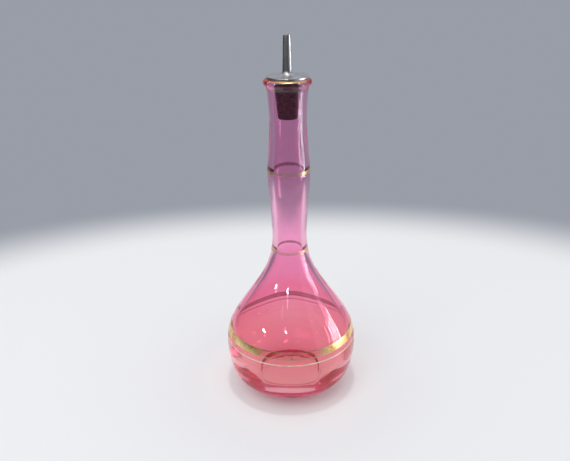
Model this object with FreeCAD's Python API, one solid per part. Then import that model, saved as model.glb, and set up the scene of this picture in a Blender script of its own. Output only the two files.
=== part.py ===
import FreeCAD, Part
import math
import os

from FreeCAD import Vector

# Barber bottle with its cork and its metal pourer, in millimetres.
# The origin is the middle of the resting ring, and +Z is the axis of the bottle.

# Outside of the glass
BODY_HEIGHT = 114.3           # table to the narrow foot of the neck
NECK_LENGTH = 102.9           # foot of the neck to the top of the lip
BOWL_DIAMETER = 90.4
WIDEST_HEIGHT = 32.5          # height of the largest diameter of the bowl
FOOT_DIAMETER = 48.0          # outside of the ring that the bottle rests on
FOOT_RING_WIDTH = 2.5
NECK_FOOT_DIAMETER = 22.9
NECK_SWELL_DIAMETER = 27.6
NECK_SWELL_RISE = 40.5        # above the foot of the neck
NECK_WAIST_DIAMETER = 23.6
NECK_WAIST_DROP = 27.4        # below the top of the lip
LIP_STEM_DIAMETER = 25.9      # neck just under the lip
LIP_HEIGHT = 5.9
LIP_DIAMETER = 30.0
LIP_BEAD_RADIUS = 2.2
LIP_BEAD_UNDERCUT = 50.0      # degrees that the bead turns below its widest place

# Shapes between those sizes, as (share of the height, share of the change in radius)
HEEL_SHAPE = [(0.132, 0.380), (0.332, 0.770), (0.597, 0.922)]
SHOULDER_SHAPE = [(0.156, 0.056), (0.367, 0.334), (0.578, 0.681), (0.735, 0.882), (0.895, 0.985)]
LOWER_NECK_SHAPE = [(0.270, 0.230), (0.590, 0.530)]
UPPER_NECK_SHAPE = [(0.630, 0.720)]
LIP_STEM_SHAPE = [(0.600, 0.360)]

# Inside of the glass
MOUTH_DIAMETER = 16.9         # straight bore that the cork goes into
MOUTH_ROUNDING = 1.1
SWELL_WALL = 3.9
NECK_FOOT_WALL = 3.5
SHOULDER_WALL = 3.2
BOWL_WALL = 2.8
HEEL_WALL = 3.6
FLOOR_THICKNESS = 8.0         # over the resting ring
PUSH_UP = 6.0                 # hollow under the base
CENTRE_THICKNESS = 6.0        # glass over the hollow
CENTRE_FLAT_RADIUS = 2.0      # flat middle of the floor and of the hollow

# Fired gold on the glass
GILT_FILM = 0.12
BODY_BAND_HEIGHT = 42.95      # lower edge above the table
BODY_BAND_WIDTH = 4.95
BODY_LINE_DROP = 4.0          # lower edge of the thin line below the wide band
BODY_LINE_WIDTH = 0.85
SHOULDER_RING_DROP = 10.8     # lower edge below the foot of the neck
SHOULDER_RING_WIDTH = 1.9
NECK_BAND_RISE = 44.2         # lower edge above the foot of the neck
NECK_BAND_WIDTH = 2.2
LIP_BAND_FROM = 42.0          # degrees round the bead, from its widest place
LIP_BAND_TO = 90.0

# Cork
CORK_LENGTH = 24.4
CORK_BOTTOM_DIAMETER = 12.2
CORK_CHAMFER = 0.6
CORK_CLEARANCE = 0.15         # radial, at the top of the straight bore

# Pourer
DISC_DIAMETER = 26.0
DISC_THICKNESS = 1.4
DISC_CROWN = 0.6              # rise of the disc from its rim to the spout
DISC_TO_LIP = 0.2
DISC_TO_CORK = 0.05
SPOUT_FOOT_DIAMETER = 6.2
SPOUT_TIP_DIAMETER = 4.8
SPOUT_FILLET = 2.4
SPOUT_HEIGHT = 23.5           # above the crown of the disc, on the axis
SPOUT_TIP_SLANT = 12.0        # degrees, with the high side towards +X
OUTLET_DIAMETER = 3.0         # bore of the spout at its tip
OUTLET_LENGTH = 12.0
CHANNEL_DIAMETER = 3.6        # bore below the outlet, down through the stem
STEM_DIAMETER = 6.0
STEM_CLEARANCE = 0.06         # radial, in the cork
STEM_OVERHANG = 0.5           # below the cork
RIB_HEIGHT = 0.5
RIB_COUNT = 3

# Places that follow from the sizes
LIP_TOP = BODY_HEIGHT + NECK_LENGTH
LIP_FOOT = LIP_TOP - LIP_HEIGHT
WAIST_HEIGHT = LIP_TOP - NECK_WAIST_DROP
SWELL_HEIGHT = BODY_HEIGHT + NECK_SWELL_RISE
BEAD_CENTRE = (LIP_DIAMETER / 2 - LIP_BEAD_RADIUS, LIP_TOP - LIP_BEAD_RADIUS)
MOUTH_RADIUS = MOUTH_DIAMETER / 2
MOUTH_EDGE = LIP_TOP - MOUTH_ROUNDING
DISC_BOTTOM = LIP_TOP + DISC_TO_LIP
CORK_TOP = DISC_BOTTOM - DISC_TO_CORK
CORK_BOTTOM = CORK_TOP - CORK_LENGTH
CROWN_TOP = DISC_BOTTOM + DISC_THICKNESS + DISC_CROWN
SPOUT_TOP = CROWN_TOP + SPOUT_HEIGHT
STEM_BOTTOM = CORK_BOTTOM - STEM_OVERHANG


def at(station):
    """The point of the XZ plane at a (radius, height) pair."""
    return Vector(station[0], 0, station[1])


def line(start, end):
    """A straight edge between two (radius, height) pairs."""
    return Part.LineSegment(at(start), at(end)).toShape()


def arc(start, middle, end):
    """A circular edge through three (radius, height) pairs."""
    return Part.Arc(at(start), at(middle), at(end)).toShape()


def on_circle(centre, radius, angle):
    """The (radius, height) pair on a circle, with the angle in degrees from outward."""
    turn = math.radians(angle)
    return (centre[0] + radius * math.cos(turn), centre[1] + radius * math.sin(turn))


def turned_arc(centre, radius, first, last):
    """A circular edge about a (radius, height) pair, between two angles."""
    return arc(*[on_circle(centre, radius, angle) for angle in (first, (first + last) / 2, last)])


def polyline(stations):
    """Straight edges through (radius, height) pairs."""
    return [line(start, end) for start, end in zip(stations, stations[1:])]


def revolve(edges):
    """The solid that a closed outline sweeps about the Z axis."""
    face = Part.Face(Part.Wire(edges))
    return face.revolve(Vector(0, 0, 0), Vector(0, 0, 1), 360)


def between(low, high, shape):
    """Stations between two (radius, height) pairs, from their shares of height and radius."""
    return [(low[0] + out * (high[0] - low[0]), low[1] + up * (high[1] - low[1])) for up, out in shape]


def outer_stations():
    """The outside of the glass in named groups, from the resting ring to the foot of the lip."""
    foot = (FOOT_DIAMETER / 2, 0)
    widest = (BOWL_DIAMETER / 2, WIDEST_HEIGHT)
    neck_foot = (NECK_FOOT_DIAMETER / 2, BODY_HEIGHT)
    swell = (NECK_SWELL_DIAMETER / 2, SWELL_HEIGHT)
    waist = (NECK_WAIST_DIAMETER / 2, WAIST_HEIGHT)
    lip_foot = (LIP_STEM_DIAMETER / 2, LIP_FOOT)
    return {
        "heel": [foot] + between(foot, widest, HEEL_SHAPE),
        "bowl": [widest],
        "shoulder": between(widest, neck_foot, SHOULDER_SHAPE),
        "neck_foot": [neck_foot],
        "lower_neck": between(neck_foot, swell, LOWER_NECK_SHAPE),
        "swell": [swell] + between(swell, waist, UPPER_NECK_SHAPE),
        "stem": [waist] + between(waist, lip_foot, LIP_STEM_SHAPE) + [lip_foot],
    }


OUTER = outer_stations()
OUTER_CURVE = Part.BSplineCurve()
OUTER_CURVE.interpolate([at(station) for group in OUTER.values() for station in group])


def inward(station, wall):
    """An outside station moved into the glass by the wall, square to the outside."""
    along = OUTER_CURVE.tangent(OUTER_CURVE.parameter(at(station)))[0]
    return (station[0] - wall * along.z, station[1] + wall * along.x)


def inside_edge():
    """The inside of the glass, from the middle of the floor to the straight bore."""
    floor_top = PUSH_UP + CENTRE_THICKNESS
    floor_edge = FOOT_DIAMETER / 2 + FOOT_RING_WIDTH
    heel = inward(OUTER["heel"][-1], HEEL_WALL)
    corner = (heel[0] * 0.9, (FLOOR_THICKNESS + heel[1]) / 2)
    walls = [
        [(CENTRE_FLAT_RADIUS, floor_top), (floor_edge / 2, (floor_top * 3 + FLOOR_THICKNESS) / 4)],
        [(floor_edge, FLOOR_THICKNESS), corner, heel],
        [inward(station, BOWL_WALL) for station in OUTER["bowl"] + OUTER["shoulder"][:1]],
        [inward(station, SHOULDER_WALL) for station in OUTER["shoulder"][1:-1]],
        [inward(station, NECK_FOOT_WALL) for station in OUTER["shoulder"][-1:] + OUTER["neck_foot"]],
        [inward(station, (NECK_FOOT_WALL + SWELL_WALL) / 2) for station in OUTER["lower_neck"]],
        [inward(station, SWELL_WALL) for station in OUTER["swell"]],
        [(MOUTH_RADIUS, WAIST_HEIGHT)],
    ]
    curve = Part.BSplineCurve()
    points = [at(station) for group in walls for station in group]
    curve.interpolate(Points=points, InitialTangent=Vector(1, 0, 0), FinalTangent=Vector(0, 0, 1))
    return curve.toShape()


def lip_edges():
    """The lip, from the neck under it, round its bead and into the mouth."""
    stem = OUTER["stem"][-1]
    undercut = on_circle(BEAD_CENTRE, LIP_BEAD_RADIUS, -LIP_BEAD_UNDERCUT)
    cove = ((stem[0] * 2 + undercut[0]) / 3, (stem[1] + undercut[1]) / 2)
    bead_top = (BEAD_CENTRE[0], LIP_TOP)
    mouth_centre = (MOUTH_RADIUS + MOUTH_ROUNDING, MOUTH_EDGE)
    return [
        arc(stem, cove, undercut),
        turned_arc(BEAD_CENTRE, LIP_BEAD_RADIUS, -LIP_BEAD_UNDERCUT, 90),
        line(bead_top, (mouth_centre[0], LIP_TOP)),
        turned_arc(mouth_centre, MOUTH_ROUNDING, 90, 180),
        line((MOUTH_RADIUS, MOUTH_EDGE), (MOUTH_RADIUS, WAIST_HEIGHT)),
    ]


def base_edges():
    """The hollow under the bottle and the ring that it rests on."""
    ring_inside = FOOT_DIAMETER / 2 - FOOT_RING_WIDTH
    hollow = Part.BSplineCurve()
    flat = (CENTRE_FLAT_RADIUS, PUSH_UP)
    points = [at(flat), at((ring_inside * 0.6, PUSH_UP * 0.75)), at((ring_inside, 0))]
    hollow.interpolate(Points=points, InitialTangent=Vector(1, 0, 0), FinalTangent=Vector(1, 0, -1))
    return [line((0, PUSH_UP), flat), hollow.toShape(), line((ring_inside, 0), (FOOT_DIAMETER / 2, 0))]


def glass_bottle():
    """The blown bottle, with its thick base, its long neck and its lip."""
    floor_top = PUSH_UP + CENTRE_THICKNESS
    floor = polyline([(CENTRE_FLAT_RADIUS, floor_top), (0, floor_top), (0, PUSH_UP)])
    return revolve(base_edges() + [OUTER_CURVE.toShape()] + lip_edges() + [inside_edge()] + floor)


def outer_radius(height):
    """The outside radius of the glass below the lip."""
    ray = Part.LineSegment(at((0, height)), at((BOWL_DIAMETER, height)))
    return OUTER_CURVE.intersectCC(ray)[0].X


def gilt_ring(glass, low, width):
    """A film of gold round the glass, from its lower edge upwards."""
    outside = [(outer_radius(low + rise) + GILT_FILM, low + rise) for rise in (0, width / 2, width)]
    buried = [(station[0] - BOWL_WALL / 2, station[1]) for station in outside]
    edges = [arc(*outside)] + polyline([outside[2], buried[2], buried[0], outside[0]])
    return revolve(edges).cut(glass)


def gilt_lip_band(glass):
    """A film of gold over the outer top edge of the lip."""
    shown, buried = LIP_BEAD_RADIUS + GILT_FILM, LIP_BEAD_RADIUS / 2
    ends = [[on_circle(BEAD_CENTRE, radius, angle) for radius in (shown, buried)]
            for angle in (LIP_BAND_FROM, LIP_BAND_TO)]
    edges = [
        turned_arc(BEAD_CENTRE, shown, LIP_BAND_FROM, LIP_BAND_TO),
        line(*ends[1]),
        turned_arc(BEAD_CENTRE, buried, LIP_BAND_TO, LIP_BAND_FROM),
        line(*reversed(ends[0])),
    ]
    return revolve(edges).cut(glass)


def stem_stations(growth):
    """The ribbed outside of the pourer's stem, top to bottom, made larger by a radial growth."""
    radius = STEM_DIAMETER / 2 + growth
    pitch = CORK_LENGTH / (RIB_COUNT + 1)
    stations = [(radius, DISC_BOTTOM)]
    for rib in range(1, RIB_COUNT + 1):
        middle = CORK_TOP - rib * pitch
        stations += [(radius, middle + RIB_HEIGHT), (radius + RIB_HEIGHT, middle), (radius, middle - RIB_HEIGHT)]
    return stations + [(radius, STEM_BOTTOM)]


def cork():
    """The tapered cork, bored for the ribbed stem of the pourer."""
    top_radius = MOUTH_RADIUS - CORK_CLEARANCE
    bottom_radius = CORK_BOTTOM_DIAMETER / 2
    taper = (top_radius - bottom_radius) / (MOUTH_EDGE - CORK_BOTTOM)
    stations = [
        (0, CORK_BOTTOM),
        (bottom_radius - CORK_CHAMFER, CORK_BOTTOM),
        (bottom_radius + taper * CORK_CHAMFER, CORK_BOTTOM + CORK_CHAMFER),
        (bottom_radius + taper * CORK_LENGTH, CORK_TOP),
        (0, CORK_TOP),
        (0, CORK_BOTTOM),
    ]
    bore = [(0, DISC_BOTTOM)] + stem_stations(STEM_CLEARANCE) + [(0, STEM_BOTTOM), (0, DISC_BOTTOM)]
    return revolve(polyline(stations)).cut(revolve(polyline(bore)))


def pourer():
    """The cast pourer: disc, tapered spout with a slanted tip, and ribbed hollow stem."""
    rim = DISC_THICKNESS / 2
    rim_centre = (DISC_DIAMETER / 2 - rim, DISC_BOTTOM + rim)
    foot = SPOUT_FOOT_DIAMETER / 2
    fillet_centre = (foot + SPOUT_FILLET, CROWN_TOP + SPOUT_FILLET)
    fillet_foot = (fillet_centre[0], CROWN_TOP)
    rim_top = (rim_centre[0], DISC_BOTTOM + DISC_THICKNESS)
    crown = ((rim_top[0] + fillet_foot[0]) / 2, rim_top[1] + DISC_CROWN * 0.75)
    taper = (SPOUT_FOOT_DIAMETER - SPOUT_TIP_DIAMETER) / 2 / (SPOUT_TOP - fillet_centre[1])
    blank_top = SPOUT_TOP + SPOUT_TIP_DIAMETER
    tip = foot - taper * (blank_top - fillet_centre[1])
    outlet, channel = OUTLET_DIAMETER / 2, CHANNEL_DIAMETER / 2
    outlet_foot = SPOUT_TOP - OUTLET_LENGTH
    step_foot = outlet_foot - (channel - outlet)
    edges = polyline([(channel, STEM_BOTTOM), (channel, step_foot), (outlet, outlet_foot), (outlet, blank_top)])
    edges += polyline([(outlet, blank_top), (tip, blank_top), (foot, fillet_centre[1])])
    edges += [
        turned_arc(fillet_centre, SPOUT_FILLET, 180, 270),
        arc(fillet_foot, crown, rim_top),
        turned_arc(rim_centre, rim, 90, -90),
        line((rim_centre[0], DISC_BOTTOM), (STEM_DIAMETER / 2, DISC_BOTTOM)),
    ]
    edges += polyline(stem_stations(0) + [(channel, STEM_BOTTOM)])
    size = DISC_DIAMETER
    above = Part.makeBox(size, size, size, Vector(-size / 2, -size / 2, SPOUT_TOP))
    above.rotate(Vector(0, 0, SPOUT_TOP), Vector(0, 1, 0), -SPOUT_TIP_SLANT)
    return revolve(edges).cut(above)


def save(name, shape):
    """Write one piece, and stop if it is not one closed solid."""
    if len(shape.Solids) != 1 or not shape.isValid():
        raise ValueError(f"{name} has {len(shape.Solids)} solids")
    shape.Solids[0].exportStep(f"parts/{name}.step")
    print(f"{name}: {shape.Volume:.1f} mm3")


def main():
    os.makedirs("parts", exist_ok=True)
    glass = glass_bottle()
    save("glass_bottle", glass)
    save("gilt_body_band", gilt_ring(glass, BODY_BAND_HEIGHT, BODY_BAND_WIDTH))
    save("gilt_body_line", gilt_ring(glass, BODY_BAND_HEIGHT - BODY_LINE_DROP, BODY_LINE_WIDTH))
    save("gilt_shoulder_ring", gilt_ring(glass, BODY_HEIGHT - SHOULDER_RING_DROP, SHOULDER_RING_WIDTH))
    save("gilt_neck_band", gilt_ring(glass, BODY_HEIGHT + NECK_BAND_RISE, NECK_BAND_WIDTH))
    save("gilt_lip_band", gilt_lip_band(glass))
    save("cork", cork())
    save("pourer", pourer())


if __name__ == "__main__":
    main()
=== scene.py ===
"""Looks of a barber bottle: pink-ruby blown glass with fired gilt, its cork and its cast pourer.

Lengths are in metres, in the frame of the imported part. The origin is the middle of the ring
that the bottle rests on, and +Z is the axis of the bottle.
"""

import logging
import math
from dataclasses import dataclass, field
from enum import Enum

import bpy
import numpy as np
from mathutils import Matrix, Quaternion, Vector


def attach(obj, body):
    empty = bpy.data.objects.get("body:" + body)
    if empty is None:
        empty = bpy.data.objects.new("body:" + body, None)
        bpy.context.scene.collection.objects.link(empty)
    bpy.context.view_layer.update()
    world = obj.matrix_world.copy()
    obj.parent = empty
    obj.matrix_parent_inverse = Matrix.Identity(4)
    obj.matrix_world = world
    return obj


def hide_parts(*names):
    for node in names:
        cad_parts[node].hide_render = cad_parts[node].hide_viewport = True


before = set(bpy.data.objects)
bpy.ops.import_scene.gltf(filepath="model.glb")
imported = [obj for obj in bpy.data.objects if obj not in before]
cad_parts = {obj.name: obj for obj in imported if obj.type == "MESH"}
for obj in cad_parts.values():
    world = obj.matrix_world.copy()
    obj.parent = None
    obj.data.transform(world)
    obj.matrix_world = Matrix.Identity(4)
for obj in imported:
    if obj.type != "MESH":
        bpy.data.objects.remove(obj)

LOG = logging.getLogger("barber_bottle")
Point = tuple[float, float]
Span = tuple[float, float]
Place = tuple[float, float, float]
Colour = tuple[float, float, float]
Socket = bpy.types.NodeSocket


class Body(Enum):
    """The bodies that move on their own."""

    BOTTLE = "bottle"
    STOPPER = "stopper"
    POURER = "pourer"


class Slot(Enum):
    """The material slots of the part's record."""

    GLASS = "ruby_glass"
    GILT = "fired_gilt"
    CORK = "cork"
    METAL = "white_metal"


# Curves and outlines


class Weight(Enum):
    """What else moves the points of an outline, with its place among a point's weights."""

    RIPPLE = 0
    SLANT = 1
    UNEVEN = 2


class SmoothCurve:
    """A cubic curve through (radius, height) stations, measured along its chords.

    NEARBY is the share of its length over which a direction is taken, and FINE_STEPS is how many
    of its points a lookup by height reads.
    """

    NEARBY = 1e-5
    FINE_STEPS = 2000

    def __init__(self, stations: list[Point], start: Point | None = None, end: Point | None = None) -> None:
        """Fit the curve.

        Args:
            stations: the (radius, height) pairs that it goes through.
            start: its direction at the first station, or None where it is free.
            end: its direction at the last station, or None where it is free.
        """
        self.stations = np.array(stations, float)
        self.gaps = np.linalg.norm(np.diff(self.stations, axis=0), axis=1)
        self.knots = np.concatenate([[0.0], np.cumsum(self.gaps)])
        self.bends = self._bends(start, end)

    def _bends(self, start: Point | None, end: Point | None) -> np.ndarray:
        """Solve for the second derivative at each station.

        Args:
            start: the direction at the first station, or None.
            end: the direction at the last station, or None.

        Returns:
            One (radius, height) pair for each station.
        """
        gaps, count = self.gaps, len(self.knots)
        slopes = np.diff(self.stations, axis=0) / gaps[:, None]
        matrix, right = np.eye(count), np.zeros((count, 2))
        for i in range(1, count - 1):
            matrix[i, i - 1:i + 2] = gaps[i - 1], 2 * (gaps[i - 1] + gaps[i]), gaps[i]
            right[i] = 6 * (slopes[i] - slopes[i - 1])
        if start is not None:
            matrix[0, :2] = 2 * gaps[0], gaps[0]
            right[0] = 6 * (slopes[0] - np.array(start) / np.linalg.norm(start))
        if end is not None:
            matrix[-1, -2:] = gaps[-1], 2 * gaps[-1]
            right[-1] = 6 * (np.array(end) / np.linalg.norm(end) - slopes[-1])
        return np.linalg.solve(matrix, right)

    def _shares(self, places: np.ndarray) -> tuple[np.ndarray, np.ndarray, np.ndarray]:
        """Find the span of each place, and how near it is to that span's two ends."""
        span = np.clip(np.searchsorted(self.knots, places, side="right") - 1, 0, len(self.gaps) - 1)
        after = (places - self.knots[span]) / self.gaps[span]
        return span, (1 - after)[:, None], after[:, None]

    def at(self, places: np.ndarray) -> np.ndarray:
        """Give the points at some places along the curve.

        Args:
            places: lengths along the chords.

        Returns:
            One (radius, height) pair for each place.
        """
        span, before, after = self._shares(places)
        bow = (before**3 - before) * self.bends[span] + (after**3 - after) * self.bends[span + 1]
        chord = before * self.stations[span] + after * self.stations[span + 1]
        return chord + bow * self.gaps[span][:, None] ** 2 / 6

    def inward(self, first: int, last: int, wall: float) -> list[Point]:
        """Move stations into the piece, square to the curve.

        Args:
            first: the first station's number.
            last: the number after the last one.
            wall: how far they move.

        Returns:
            The moved (radius, height) pairs.
        """
        reach = self.knots[-1] * self.NEARBY
        low = self.at(np.clip(self.knots[first:last] - reach, 0, self.knots[-1]))
        high = self.at(np.clip(self.knots[first:last] + reach, 0, self.knots[-1]))
        along = (high - low) / np.linalg.norm(high - low, axis=1)[:, None]
        moved = self.stations[first:last] + wall * np.stack([-along[:, 1], along[:, 0]], axis=1)
        return [tuple(pair) for pair in moved]

    def sampled(self, step: float) -> list[Point]:
        """Give evenly spaced points from one end to the other, about a step apart."""
        count = max(2, round(self.knots[-1] / step) + 1)
        return [tuple(pair) for pair in self.at(np.linspace(0, self.knots[-1], count))]

    def radius_at(self, height: float) -> float:
        """Give the radius at a height, on a curve that only rises."""
        points = self.at(np.linspace(0, self.knots[-1], self.FINE_STEPS))
        return float(np.interp(height, points[:, 1], points[:, 0]))


def on_circle(centre: Point, radius: float, angle: float) -> Point:
    """Give the (radius, height) pair on a circle, with the angle in degrees from outward."""
    turn = math.radians(angle)
    return (centre[0] + radius * math.cos(turn), centre[1] + radius * math.sin(turn))


def arc(centre: Point, radius: float, first: float, last: float, count: int) -> list[Point]:
    """Give points round a circle between two angles in degrees.

    Args:
        centre: the middle of the circle, as (radius, height).
        radius: its radius.
        first: the angle of the first point.
        last: the angle of the last point.
        count: how many points.

    Returns:
        The (radius, height) pairs.
    """
    return [on_circle(centre, radius, angle) for angle in np.linspace(first, last, count)]


def straight(start: Point, end: Point, count: int) -> list[Point]:
    """Give evenly spaced points from one (radius, height) pair to another."""
    return [tuple(pair) for pair in np.linspace(start, end, count)]


@dataclass
class Outline:
    """The outline that a piece is turned from, up its outside and down its inside.

    Each point has three weights: how much the ripple, the slant and the unevenness of the
    piece move it. Two points closer than SAME are one.
    """

    SAME = 1e-7
    points: list[Point] = field(default_factory=list)
    weights: list[tuple[float, float, float]] = field(default_factory=list)

    def add(self, points: list[Point], ripple: float = 0, slant: float = 0, uneven: float = 0) -> None:
        """Add points, and leave out one that repeats the last.

        Args:
            points: the (radius, height) pairs.
            ripple: their ripple weight.
            slant: their slant weight.
            uneven: their unevenness weight.
        """
        for point in points:
            if self.points and math.dist(point, self.points[-1]) < self.SAME:
                continue
            self.points.append(point)
            self.weights.append((ripple, slant, uneven))

    def fade(self, weight: Weight, low: float, high: float, first: int) -> None:
        """Scale a weight from none at one height to whole at another.

        Args:
            weight: which weight.
            low: the height with none of it.
            high: the height with all of it.
            first: the number of the first point that is scaled.
        """
        for i in range(first, len(self.points)):
            share = min(1.0, max(0.0, (self.points[i][1] - low) / (high - low)))
            row = list(self.weights[i])
            row[weight.value] *= share * share * (3 - 2 * share)
            self.weights[i] = tuple(row)


# Node trees


class NodeTree:
    """A node tree, with short calls for adding and linking its nodes."""

    WHOLE = "FunctionNodeIntegerMath"
    VECTOR = "ShaderNodeVectorMath"

    def __init__(self, tree: bpy.types.NodeTree) -> None:
        """Take the tree that nodes are added to."""
        self.tree = tree

    def feed(self, socket: Socket, value: object) -> None:
        """Link a socket to another one, or set its own value. A colour is made opaque."""
        if isinstance(value, Socket):
            self.tree.links.new(value, socket)
        elif socket.type == "RGBA":
            socket.default_value = (*value, 1.0)
        else:
            socket.default_value = value

    def node(self, kind: str, settings: dict | None = None, **inputs: object) -> bpy.types.Node:
        """Add a node.

        Args:
            kind: its Blender type.
            settings: its properties.
            inputs: its inputs by name, with underscores for spaces.

        Returns:
            The node.
        """
        node = self.tree.nodes.new(kind)
        for name, value in (settings or {}).items():
            setattr(node, name, value)
        for name, value in inputs.items():
            self.feed(node.inputs[name.replace("_", " ")], value)
        return node

    def maths(
        self, operation: str, *values: object, kind: str = "ShaderNodeMath", output: int | str = 0
    ) -> Socket:
        """Add a maths node.

        Args:
            operation: what it does.
            values: its inputs, in order.
            kind: its Blender type, another one for whole numbers and for vectors.
            output: the number or the name of the output.

        Returns:
            The output.
        """
        node = self.node(kind, {"operation": operation})
        for socket, value in zip(node.inputs, values):
            self.feed(socket, value)
        return node.outputs[output]

    def remap(self, value: Socket, old: Span, new: Span = (0.0, 1.0)) -> Socket:
        """Move a value smoothly from one range to another, held at both ends.

        Args:
            value: what is moved.
            old: its own range.
            new: the range that it is moved to.

        Returns:
            The moved value.
        """
        node = self.node("ShaderNodeMapRange", {"interpolation_type": "SMOOTHSTEP"}, Value=value)
        for name, number in zip(("From Min", "From Max", "To Min", "To Max"), (*old, *new)):
            node.inputs[name].default_value = number
        return node.outputs[0]

    def mix(self, share: Socket, first: Socket | Colour, second: Socket | Colour) -> Socket:
        """Mix two colours.

        Args:
            share: how much of the second one shows.
            first: the first colour.
            second: the second colour.

        Returns:
            The mixed colour.
        """
        node = self.node("ShaderNodeMix", {"data_type": "RGBA"}, Factor=share)
        ends = [socket for socket in node.inputs if socket.type == "RGBA"]
        self.feed(ends[0], first)
        self.feed(ends[1], second)
        return next(socket for socket in node.outputs if socket.type == "RGBA")

    def unscattered(self, path: bpy.types.bpy_prop_collection) -> Socket:
        """Give 1 for a ray that no dull surface has scattered yet, from the outputs of a Light Path."""
        return self.maths("LESS_THAN", path["Diffuse Depth"], 0.5)


# Turning


class TurningTree(NodeTree):
    """The node tree that turns an outline about the Z axis into a closed mesh."""

    NAME = "turned_piece"
    INPUTS = {
        "Sides": "NodeSocketInt",
        "Ripples": "NodeSocketInt",
        "Ripple Depth": "NodeSocketFloat",
        "Ripple Turn": "NodeSocketFloat",
        "Ripple Roundness": "NodeSocketFloat",
        "Slant": "NodeSocketFloat",
        "Uneven Depth": "NodeSocketFloat",
        "Uneven Scale": "NodeSocketFloat",
        "Seed": "NodeSocketFloat",
        "Crease": "NodeSocketFloat",
        "Finish": "NodeSocketMaterial",
    }
    WELD = 1e-6
    CREASE = math.radians(30)
    UNEVEN_DETAIL = 2.0

    def __init__(self) -> None:
        """Build the tree once."""
        super().__init__(bpy.data.node_groups.new(self.NAME, "GeometryNodeTree"))
        face = self.tree.interface
        face.new_socket(name="Outline", in_out="INPUT", socket_type="NodeSocketGeometry")
        self.keys = {
            name: face.new_socket(name=name, in_out="INPUT", socket_type=kind).identifier
            for name, kind in self.INPUTS.items()
        }
        face.new_socket(name="Piece", in_out="OUTPUT", socket_type="NodeSocketGeometry")
        self.given = self.node("NodeGroupInput").outputs
        self._build()

    def _sampled(self, kind: str, value: Socket, row: Socket) -> Socket:
        """Read a field of the outline at its row's point.

        Args:
            kind: the field's data type.
            value: the field.
            row: the point's number.

        Returns:
            The value at that point.
        """
        settings = {"data_type": kind, "domain": "POINT"}
        outline = self.given["Outline"]
        node = self.node("GeometryNodeSampleIndex", settings, Geometry=outline, Index=row, Value=value)
        return node.outputs["Value"]

    def _weight(self, weight: Weight, row: Socket) -> Socket:
        """Read a weight of the outline at its row's point."""
        named = self.node("GeometryNodeInputNamedAttribute", {"data_type": "FLOAT"}, Name=weight.name)
        return self._sampled("FLOAT", named.outputs["Attribute"], row)

    def _build(self) -> None:
        """Lay out the whole tree."""
        given, add = self.given, self.maths
        columns = add("ADD", given["Sides"], 1, kind=self.WHOLE)
        outline = given["Outline"]
        size = self.node("GeometryNodeAttributeDomainSize", {"component": "MESH"}, Geometry=outline)
        rows = size.outputs["Point Count"]
        grid = self.node("GeometryNodeMeshGrid", Vertices_X=rows, Vertices_Y=columns)
        index = self.node("GeometryNodeInputIndex").outputs["Index"]
        row = add("DIVIDE_FLOOR", index, columns, kind=self.WHOLE)
        column = add("MODULO", index, columns, kind=self.WHOLE)
        position = self.node("GeometryNodeInputPosition").outputs["Position"]
        at_row = self._sampled("FLOAT_VECTOR", position, row)
        station = self.node("ShaderNodeSeparateXYZ", Vector=at_row).outputs
        ripple, slant, uneven = [self._weight(weight, row) for weight in Weight]

        turn = add("DIVIDE", add("MULTIPLY", column, math.tau), given["Sides"])
        wave = add("COSINE", add("ADD", add("MULTIPLY", turn, given["Ripples"]), given["Ripple Turn"]))
        hollow = add("MAXIMUM", add("MULTIPLY_ADD", wave, -0.5, 0.5), 0.0)
        lobe = add("POWER", hollow, given["Ripple Roundness"])
        dip = add("MULTIPLY", add("MULTIPLY", ripple, given["Ripple Depth"]), lobe)
        radius = add("SUBTRACT", station["X"], dip)
        across, beside = add("COSINE", turn), add("SINE", turn)
        x, y = add("MULTIPLY", radius, across), add("MULTIPLY", radius, beside)
        rise = add("MULTIPLY", add("MULTIPLY", slant, given["Slant"]), x)
        even = self.node("ShaderNodeCombineXYZ", X=x, Y=y, Z=add("ADD", station["Z"], rise)).outputs[0]

        noise = self.node("ShaderNodeTexNoise", {"noise_dimensions": "4D"}, Vector=even, W=given["Seed"],
                          Scale=given["Uneven Scale"], Detail=self.UNEVEN_DETAIL)
        lump = add("MULTIPLY", add("SUBTRACT", noise.outputs[0], 0.5), 2.0)
        push = add("MULTIPLY", add("MULTIPLY", uneven, given["Uneven Depth"]), lump)
        push_x, push_y = add("MULTIPLY", push, across), add("MULTIPLY", push, beside)
        swell = self.node("ShaderNodeCombineXYZ", X=push_x, Y=push_y).outputs[0]
        place = add("ADD", even, swell, kind=self.VECTOR)

        shaped = self.node("GeometryNodeSetPosition", Geometry=grid.outputs["Mesh"], Position=place)
        welded = self.node("GeometryNodeMergeByDistance", Geometry=shaped.outputs[0], Distance=self.WELD)
        turned = self.node("GeometryNodeFlipFaces", Mesh=welded.outputs[0])
        smooth = self.node("GeometryNodeSetShadeSmooth", {"domain": "FACE"}, Geometry=turned.outputs[0])
        angle = self.node("GeometryNodeInputMeshEdgeAngle").outputs["Unsigned Angle"]
        sharp = add("GREATER_THAN", angle, given["Crease"])
        edged = self.node("GeometryNodeSetShadeSmooth", {"domain": "EDGE"}, Geometry=smooth.outputs[0],
                          Selection=sharp, Shade_Smooth=False)
        real = self.node("GeometryNodeRealizeInstances", Geometry=edged.outputs[0])
        finish = self.node("GeometryNodeSetMaterial", Geometry=real.outputs[0], Material=given["Finish"])
        self.node("NodeGroupOutput", Piece=finish.outputs[0])

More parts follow.
